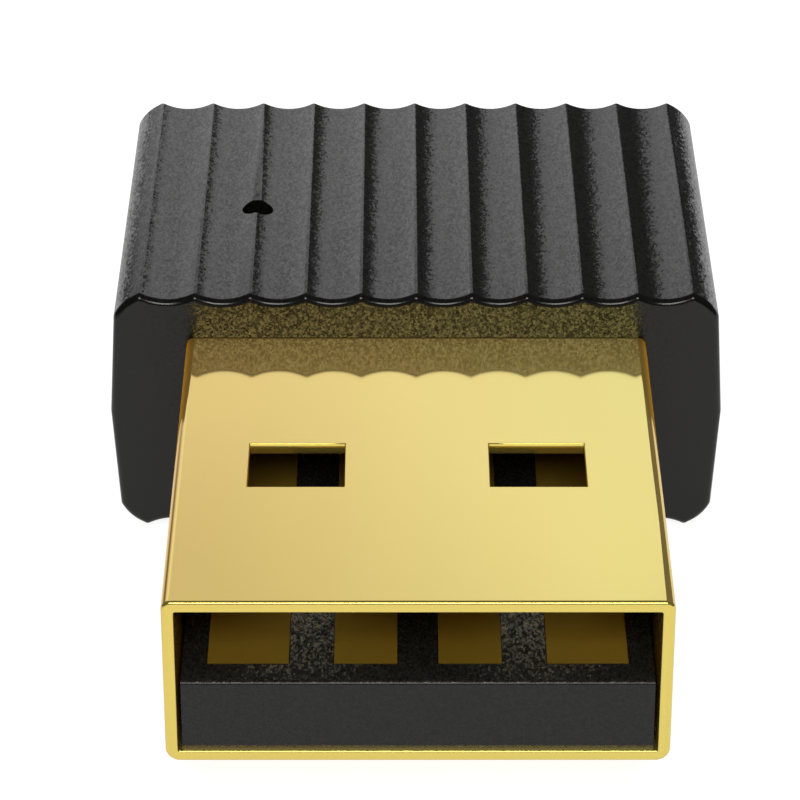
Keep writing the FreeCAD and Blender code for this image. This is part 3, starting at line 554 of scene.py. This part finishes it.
def add_turned(shape, middle, profile, steps=48):
    """Add a closed solid of round sections, each a radius and a height, about an upright axis."""
    turns = [2 * math.pi * step / steps for step in range(steps)]
    rows = [[shape.verts.new(((middle[0] + radius * math.cos(turn)) * MM,
                              (middle[1] + radius * math.sin(turn)) * MM, height * MM)) for turn in turns]
            for radius, height in profile]
    for low, high in zip(rows, rows[1:]):
        for start in range(steps):
            following = (start + 1) % steps
            shape.faces.new((low[start], low[following], high[following], high[start]))
    shape.faces.new(reversed(rows[0]))
    shape.faces.new(rows[-1])


def closed_mesh(name, shape):
    """Turn a bmesh of closed solids into a mesh whose faces point outwards."""
    bmesh.ops.recalc_face_normals(shape, faces=shape.faces)
    mesh = bpy.data.meshes.new(name)
    shape.to_mesh(mesh)
    shape.free()
    return mesh


def loft_mesh(name, sections):
    shape = bmesh.new()
    add_loft(shape, sections)
    return closed_mesh(name, shape)


def turned_mesh(name, middle, profile):
    shape = bmesh.new()
    add_turned(shape, middle, profile)
    return closed_mesh(name, shape)


def block_mesh(name, blocks):
    """Boxes in one mesh, each given by its two ends across, along Y and in height."""
    shape = bmesh.new()
    for across, along, heights in blocks:
        (left, right), (low, high) = across, heights
        sides = [(left, low), (left, high), (right, high), (right, low)]
        add_loft(shape, [(sides, place) for place in along])
    return closed_mesh(name, shape)


def hollow_meshes():
    """What is cut out of the housing, each cut a closed mesh of its own."""
    cavity = rounded_rectangle(*CAVITY_HALF, CAVITY_CORNER, CAVITY_CORNER)
    seat = rounded_rectangle(*COVER_SEAT_HALF, CAVITY_CORNER, CAVITY_CORNER)
    opening = rounded_rectangle(*PLUG_OPENING_HALF, *PLUG_OPENING_CORNERS)
    mouth = rounded_rectangle(*(size + OPENING_BEVEL for size in PLUG_OPENING_HALF + PLUG_OPENING_CORNERS))
    hole = [(LIGHT_HOLE_RADIUS, CAVITY_HALF[1] - CUT_OVER), (LIGHT_HOLE_RADIUS, TOP + CUT_OVER)]
    # The ridge behind the light dips a little, as a shallow dish would leave it
    shares = (0.02, 0.2, 0.4, 0.6, 0.8, 1.0)
    dish = [(LIGHT_DIP_RADIUS * share, TOP - LIGHT_DIP_DEPTH * (1 - share ** 2)) for share in shares]
    recesses = []
    for middle in (-ARM_SPREAD, ARM_SPREAD):
        for up in (-1, 1):
            recesses.append(((middle - RECESS_HALF_WIDTH, middle + RECESS_HALF_WIDTH), RECESS_ENDS,
                             sorted(up * height for height in RECESS_HEIGHTS)))
    return [
        loft_mesh("cavity", [(cavity, FRONT_WALL), (cavity, COVER_FACE + CUT_OVER)]),
        loft_mesh("cover_seat", [(seat, COVER_FACE), (seat, HOUSING_END + CUT_OVER)]),
        loft_mesh("plug_opening", [(mouth, -CUT_OVER), (mouth, 0.0), (opening, OPENING_BEVEL),
                                   (opening, FRONT_WALL + CUT_OVER)]),
        turned_mesh("light_hole", LIGHT_HOLE, hole),
        turned_mesh("light_dip", LIGHT_DIP, dish + [(LIGHT_DIP_RADIUS, TOP + CUT_OVER)]),
        block_mesh("barb_recesses", recesses),
    ]


def rail_mesh():
    """The two rails on each side wall that hold the board. Each reaches into its wall."""
    rails = []
    for side in (-1, 1):
        across = sorted((side * RAIL_FACE, side * (CAVITY_HALF[0] + RAIL_ROOT)))
        rails += [(across, (FRONT_WALL - RAIL_ROOT, COVER_FACE), heights) for heights in RAIL_HEIGHTS]
    return block_mesh("board_rails", rails)


def make_fluted_tree(cut_names):
    """Repeat the flute, add both corners, turn the half round for the underside, then cut it out."""
    tree, given, result = new_group(
        "fluted_housing", "GeometryNodeTree",
        [("Flute", "NodeSocketGeometry", None), ("Flutes", "NodeSocketInt", FLUTES),
         ("Pitch", "NodeSocketFloat", PITCH * MM), ("Corner", "NodeSocketObject", None),
         ("Rails", "NodeSocketObject", None), ("Plastic", "NodeSocketMaterial", None)]
        + [(name, "NodeSocketObject", None) for name in cut_names],
        [("Housing", "NodeSocketGeometry")])

    def geometry_of(label):
        return add(tree, "GeometryNodeObjectInfo", {"Object": given[label]}).outputs["Geometry"]

    def join(*parts):
        made = tree.nodes.new("GeometryNodeJoinGeometry")
        for part in parts:
            tree.links.new(part, made.inputs[0])
        return made.outputs[0]

    half_width = calc(tree, "MULTIPLY", calc(tree, "MULTIPLY", given["Flutes"], given["Pitch"]), -0.5)
    start = add(tree, "ShaderNodeCombineXYZ", {"X": half_width}).outputs[0]
    stride = add(tree, "ShaderNodeCombineXYZ", {"X": given["Pitch"]}).outputs[0]
    line = add(tree, "GeometryNodeMeshLine",
               {"Count": given["Flutes"], "Start Location": start, "Offset": stride}).outputs[0]
    flutes = add(tree, "GeometryNodeInstanceOnPoints",
                 {"Points": line, "Instance": given["Flute"]}).outputs[0]
    right = geometry_of("Corner")
    mirrored = add(tree, "GeometryNodeTransform", {"Geometry": right, "Scale": (-1.0, 1.0, 1.0)}).outputs[0]
    left = add(tree, "GeometryNodeFlipFaces", {0: mirrored}).outputs[0]
    upper = add(tree, "GeometryNodeRealizeInstances", {0: join(flutes, right, left)}).outputs[0]
    lower = add(tree, "GeometryNodeTransform",
                {"Geometry": upper, "Rotation": (0.0, math.pi, 0.0)}).outputs[0]
    whole = add(tree, "GeometryNodeMergeByDistance",
                {"Geometry": join(upper, lower), "Distance": SKIN_MERGE_DISTANCE * MM}).outputs[0]
    for name in cut_names:
        cut = add(tree, "GeometryNodeMeshBoolean", operation="DIFFERENCE", solver="MANIFOLD")
        tree.links.new(whole, cut.inputs["Mesh 1"])
        tree.links.new(geometry_of(name), cut.inputs["Mesh 2"])
        whole = cut.outputs["Mesh"]
    railed = add(tree, "GeometryNodeMeshBoolean", operation="UNION", solver="MANIFOLD")
    tree.links.new(whole, railed.inputs["Mesh 2"])
    tree.links.new(geometry_of("Rails"), railed.inputs["Mesh 2"])
    realised = add(tree, "GeometryNodeRealizeInstances", {0: railed.outputs["Mesh"]}).outputs[0]
    painted = add(tree, "GeometryNodeSetMaterial", {"Geometry": realised, "Material": given["Plastic"]})
    tree.links.new(painted.outputs[0], result.inputs[0])
    return tree


def make_housing(plastic):
    """The fluted moulding in one piece, open at the front for the plug and at the back."""
    helpers = {"Corner": link("corner", strip_mesh("corner", corner_outline)),
               "Rails": link("rails", rail_mesh())}
    cuts = hollow_meshes()
    for mesh in cuts:
        helpers[mesh.name] = link(mesh.name, mesh)
    tree = make_fluted_tree([mesh.name for mesh in cuts])
    piece = link("fluted_housing", strip_mesh("flute", flute_outline))
    modifier = piece.modifiers.new("housing", "NODES")
    modifier.node_group = tree
    for item in tree.interface.items_tree:
        if item.in_out == "INPUT" and item.name in helpers:
            modifier[item.identifier] = helpers[item.name]
        elif item.in_out == "INPUT" and item.name == "Plastic":
            modifier[item.identifier] = plastic
    mesh = plain_mesh(piece, "fluted_housing")
    piece.modifiers.remove(modifier)
    piece.data = mesh
    for helper in helpers.values():
        bpy.data.objects.remove(helper)
    smooth(mesh, SHARP_FROM)
    weigh_normals(piece)
    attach(piece, "root")
    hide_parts("housing")


def press_seam(shape):
    """Press the seam's straight stretches together to its width, and shut where the rim is."""
    middle = SEAM_MIDDLE * MM
    shut = []
    for point in shape.verts:
        aside = point.co.x - middle
        if abs(aside) < SEAM_REACH * MM and point.co.z < 0:
            if point.co.y < SEAM_CLOSED_TO * MM:
                point.co.x = middle
                shut.append(point)
            else:
                point.co.x = middle + math.copysign(SEAM_WIDTH / 2 * MM, aside)
    bmesh.ops.remove_doubles(shape, verts=shut, dist=MERGE_DISTANCE * MM)
    inner = [face for face in shape.faces
             if all(abs(point.co.x - middle) < NOTHING for point in face.verts)]
    bmesh.ops.delete(shape, geom=inner, context="FACES")


def round_corners(shape, low, high, radius):
    """Round the right-angled edges that lie in a box."""
    edges = []
    for edge in shape.edges:
        inside = all(low[axis] * MM < abs(point.co[axis]) < high[axis] * MM
                     for axis in range(3) for point in edge.verts)
        if inside and edge.is_manifold and edge.calc_face_angle() > math.radians(CORNER_FROM):
            edges.append(edge)
    bmesh.ops.bevel(shape, geom=edges, offset=radius * MM, segments=5, profile=0.5, affect="EDGES")


def tighten_upper_bends(shape):
    """Bring the shell's upper bends to their tighter radius. Its flats, lips and inside stay."""
    change = SHELL_BEND - UPPER_BEND
    corner_slack = 0.001
    bend_slack = 0.01
    across, up = (half - SHELL_BEND for half in SHELL_HALF)
    for point in shape.verts:
        x = abs(point.co.x) / MM - across
        z = point.co.z / MM - up
        reach = math.hypot(x, z)
        if min(x, z) > -corner_slack and SHELL_BEND / 2 < reach < SHELL_BEND + bend_slack:
            share = (reach - change) / reach
            point.co.x = math.copysign((across + change + x * share) * MM, point.co.x)
            point.co.z = (up + change + z * share) * MM


def break_edges(piece, width):
    """Break all of a piece's sharp edges by a small bevel."""
    modifier = piece.modifiers.new("broken_edges", "BEVEL")
    modifier.width = width * MM
    modifier.segments = 3
    modifier.limit_method = "ANGLE"
    modifier.angle_limit = math.radians(BEVEL_FROM)
    modifier.use_clamp_overlap = True
    piece.data = plain_mesh(piece, piece.name)
    piece.modifiers.remove(modifier)
    smooth(piece.data, BEVELLED_SHARP_FROM)


def make_fine_copy(node, name, material, bevel=0.0, changes=(), rounded=None):
    """A CAD node's own shape as one smooth mesh with a finish, after the changes given.

    Edges in the box that is given as rounded get its radius. With a bevel, all sharp edges are
    broken by its width.
    """
    shape = bmesh.new()
    shape.from_mesh(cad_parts[node].data)
    bmesh.ops.remove_doubles(shape, verts=shape.verts, dist=MERGE_DISTANCE * MM)
    for change in changes:
        change(shape)
    bmesh.ops.dissolve_limit(shape, angle_limit=math.radians(FLAT_TO), verts=shape.verts,
                             edges=shape.edges)
    if rounded:
        round_corners(shape, *rounded)
    mesh = bpy.data.meshes.new(name)
    shape.to_mesh(mesh)
    shape.free()
    piece = link(name, mesh)
    mesh.materials.clear()
    mesh.materials.append(material)
    smooth(mesh, SHARP_FROM)
    if bevel:
        break_edges(piece, bevel)
    weigh_normals(piece)
    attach(piece, "root")
    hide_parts(node)


def paint(node, material):
    """Give a CAD node its finish in place of the plain one it came with."""
    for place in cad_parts[node].material_slots:
        place.material = material


def make_floor():
    """A plain white floor that looks white to the camera and keeps the shadow.

    Reflections show it as a glow, which gets weaker towards the camera's left.
    """
    mesh = bpy.data.meshes.new("floor")
    half = FLOOR_SIZE * MM / 2
    level = -TOP * MM
    corners = [(-half, -half, level), (half, -half, level), (half, half, level), (-half, half, level)]
    mesh.from_pydata(corners, [], [(0, 1, 2, 3)])
    floor = link("floor", mesh)
    material = bpy.data.materials.new("floor_white")
    material.use_nodes = True
    tree = material.node_tree
    tree.nodes.remove(tree.nodes["Principled BSDF"])
    spread = add(tree, "ShaderNodeBsdfDiffuse", {"Color": FLOOR_SHADE}).outputs[0]
    path = tree.nodes.new("ShaderNodeLightPath").outputs
    bounced = calc(tree, "MAXIMUM", path["Is Glossy Ray"], path["Is Transmission Ray"])
    place = tree.nodes.new("ShaderNodeTexCoord").outputs["Object"]
    across = add(tree, "ShaderNodeSeparateXYZ", {0: place}).outputs["X"]
    dim, bright = (distance * MM for distance in FLOOR_SHINE_ACROSS)
    shine = remap(tree, across, dim, bright, *FLOOR_SHINE)
    seen = calc(tree, "MULTIPLY", path["Is Camera Ray"], FLOOR_SEEN)
    strength = calc(tree, "MULTIPLY_ADD", bounced, shine, seen)
    glow = add(tree, "ShaderNodeEmission", {"Strength": strength}).outputs[0]
    both = add(tree, "ShaderNodeAddShader", {0: spread, 1: glow}).outputs[0]
    clear = tree.nodes.new("ShaderNodeBsdfTransparent").outputs[0]
    under = tree.nodes.new("ShaderNodeNewGeometry").outputs["Backfacing"]
    surface = add(tree, "ShaderNodeMixShader", {0: under, 1: both, 2: clear}).outputs[0]
    tree.links.new(surface, tree.nodes["Material Output"].inputs["Surface"])
    mesh.materials.append(material)


def make_lamp(name, place, aim, size, glow, roll=0.0, in_gloss=True):
    """A soft box. Its glow is what a mirror would show of it, with 1 as white; its roll is in degrees."""
    width, height = size
    data = bpy.data.lights.new(name, "AREA")
    data.shape = "RECTANGLE"
    data.size = width * MM
    data.size_y = height * MM
    data.energy = glow * math.pi * width * height * MM * MM
    lamp = link(name, data)
    lamp.location = Vector(place) * MM
    facing = (Vector(aim) - Vector(place)).to_track_quat("-Z", "Y")
    lamp.rotation_euler = (facing @ Quaternion((0, 0, 1), math.radians(roll))).to_euler()
    lamp.visible_camera = False
    lamp.visible_glossy = in_gloss
    return lamp


def fade_lamp(lamp, drop):
    """Let a soft box's glow fall off at its foot and towards its corners on the camera's left.

    Its own coordinates run from 0 to 1, from the camera's right to the left and from the foot up.
    In each call below, the first two numbers are where the fall starts and is complete.
    """
    lamp.data.use_nodes = True
    tree = lamp.data.node_tree
    place = tree.nodes.new("ShaderNodeNewGeometry").outputs["Parametric"]
    parts = add(tree, "ShaderNodeSeparateXYZ", {0: place}).outputs
    left = remap(tree, parts["X"], 0.27, 0.53, 0.0, 1.0)
    upper = remap(tree, parts["Y"], 0.48, 0.7, 0.0, 1.0)
    lower = remap(tree, parts["Y"], 0.45, 0.0, 0.0, 1.1)
    foot = remap(tree, parts["Y"], 0.3, 0.06, 0.0, 2.0)
    corner = calc(tree, "MULTIPLY_ADD", left, calc(tree, "MAXIMUM", upper, lower), foot)
    strength = calc(tree, "MULTIPLY_ADD", corner, -drop, 1.0)
    tree.links.new(strength, tree.nodes["Emission"].inputs["Strength"])


def make_world():
    world = bpy.data.worlds.new("studio")
    world.use_nodes = True
    world.node_tree.nodes["Background"].inputs["Color"].default_value = (1, 1, 1, 1)
    world.node_tree.nodes["Background"].inputs["Strength"].default_value = SURROUNDINGS_GLOW
    scene.world = world


def make_camera():
    data = bpy.data.cameras.new("camera")
    data.sensor_width = CAMERA_SENSOR
    data.lens = CAMERA_LENS
    data.clip_start, data.clip_end = (reach * MM for reach in CAMERA_REACH)
    camera = link("camera", data)
    camera.location = Vector(CAMERA_PLACE) * MM
    aim = Vector(CAMERA_AIM) - Vector(CAMERA_PLACE)
    camera.rotation_euler = aim.to_track_quat("-Z", "Y").to_euler()
    scene.camera = camera


def light_the_studio():
    """A soft box behind, which the plug's top mirrors, a warm one in front, and a fill from above."""
    rear = make_lamp("rear_softbox", place=(-18.3, 50.8, 29.0), aim=(-18.3, 0, 29.0), size=(50, 63),
                     glow=0.92, roll=41.7)
    fade_lamp(rear, 0.32)
    front = make_lamp("front_softbox", place=(0, -93.2, 75.6), aim=(0, 0, 0), size=(52, 29.4), glow=9.4)
    front.data.color = (1.0, 0.97, 0.9)
    make_lamp("overhead_fill", place=(0, 0, 250), aim=(0, 0, 0), size=(400, 400), glow=1.3, in_gloss=False)


# The studio
make_camera()
make_floor()
make_world()
light_the_studio()
scene.view_settings.view_transform = "Standard"

# The finishes
# The plug's gold carries a painted reflection: its pale tone drifts to a brighter lemon tone across the
# plug
gold = make_gold("plug_gold", (0.91, 0.69, 0.25, 1), (0.95, 0.75, 0.17, 1), 0.07, metallic=0.9,
                 painted_reflection_tone=(0.88, 0.78, 0.28, 1), sheen=0.6, sheen_roughness=0.5, sheen_tint=(1, 0.45, 0.0, 1))
contact_gold = make_gold("contact_gold", (0.49, 0.335, 0.043, 1), (0.465, 0.305, 0.035, 1), 0.6,
                         metallic=0.85)
housing_black = make_housing_plastic()
tongue_black = make_satin_plastic("tongue_black", (0.008, 0.008, 0.008, 1), (0.022, 0.022, 0.022, 1),
                                  0.22, 0.28, TONGUE_GRAIN_FROM)
cover_black = make_satin_plastic("cover_black", (0.006, 0.006, 0.006, 1), (0.02, 0.02, 0.02, 1), 0.4, 0.012)
board_green = make_satin_plastic("board_green", (0.015, 0.09, 0.03, 1), (0.02, 0.12, 0.05, 1), 0.25, 0.002)
antenna_copper = make_gold("antenna_copper", (0.75, 0.42, 0.25, 1), (0.68, 0.36, 0.2, 1), 0.3)
chip_black = make_satin_plastic("chip_resin", (0.02, 0.02, 0.022, 1), (0.05, 0.05, 0.05, 1), 0.5, 0.004)
crystal_lid = make_gold("crystal_lid", (0.72, 0.71, 0.67, 1), (0.62, 0.61, 0.58, 1), 0.3)
lamp_resin = make_satin_plastic("lamp_resin", (0.6, 0.6, 0.56, 1), (0.7, 0.7, 0.66, 1), 0.2, 0.001)

# The pieces
make_housing(housing_black)
make_fine_copy("plug_shell", "plated_shell", gold, bevel=0.02,
               changes=(press_seam, tighten_upper_bends), rounded=WINDOW_EDGES)
make_fine_copy("plug_insulator", "tongue_and_block", tongue_black, rounded=TONGUE_EDGE)
make_fine_copy("rear_cover", "snap_cover", cover_black, bevel=0.06)
for contact in ("contact_power", "contact_data_minus", "contact_data_plus", "contact_ground"):
    paint(contact, contact_gold)
paint("circuit_board", board_green)
paint("antenna", antenna_copper)
paint("radio_chip", chip_black)
paint("crystal", crystal_lid)
paint("status_led", lamp_resin)
paint("led_resistor", make_chip_part("led_resistor", (0.03, 0.03, 0.035, 1)))
for name in ("bus_capacitor", "core_capacitor", "chip_capacitor", "crystal_capacitor_left",
             "crystal_capacitor_right", "matching_capacitor"):
    paint(name, make_chip_part(name, (0.42, 0.30, 0.20, 1)))
for name in ("power_coil", "matching_coil"):
    paint(name, make_chip_part(name, (0.14, 0.14, 0.15, 1)))
